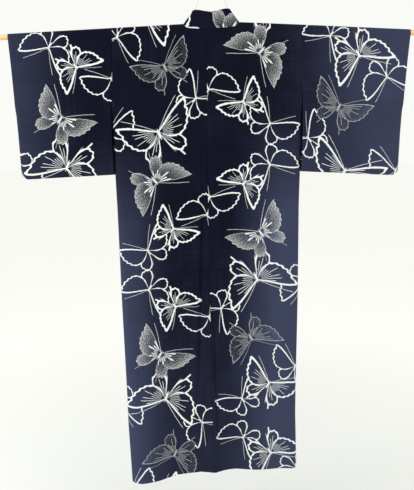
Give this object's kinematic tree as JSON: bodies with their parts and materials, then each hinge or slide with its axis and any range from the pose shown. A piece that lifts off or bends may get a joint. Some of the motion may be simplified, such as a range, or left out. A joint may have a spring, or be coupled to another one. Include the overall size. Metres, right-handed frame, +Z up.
{
  "type": "yukata robe on a hanging rod",
  "caption": "Unlined cotton yukata robe with square sleeves and a standing neckband, hung flat on a wooden rod that passes through its sleeves, with a thin cord to hang it by.",
  "frame": {"origin": "the lowest point of the cord's bend over its nail or hook, from which everything hangs", "axes": "+Z up, +X along the rod to the wearer's right sleeve, -Y out of the garment's back, the side that the picture shows"},
  "size_m": [1.4169, 0.0939, 1.7395],
  "materials": {
    "printed_cotton": "matt plain-woven cotton, navy with a white resist-dyed print",
    "collar_cotton": "matt plain-woven cotton, navy with a white resist-dyed print, folded double",
    "rod_wood": "satin",
    "cord_fibre": "twisted string"
  },
  "bodies": {
    "root": {"body_left_back": "printed_cotton", "body_left_front": "printed_cotton", "body_right_back": "printed_cotton", "body_right_front": "printed_cotton", "okumi_left": "printed_cotton", "okumi_right": "printed_cotton", "sleeve_left": "printed_cotton", "sleeve_right": "printed_cotton", "collar": "collar_cotton", "rod": "rod_wood", "cord_tie_left": "cord_fibre", "cord_tie_right": "cord_fibre", "hanging_cord": "cord_fibre"}
  },
  "joints": []
}
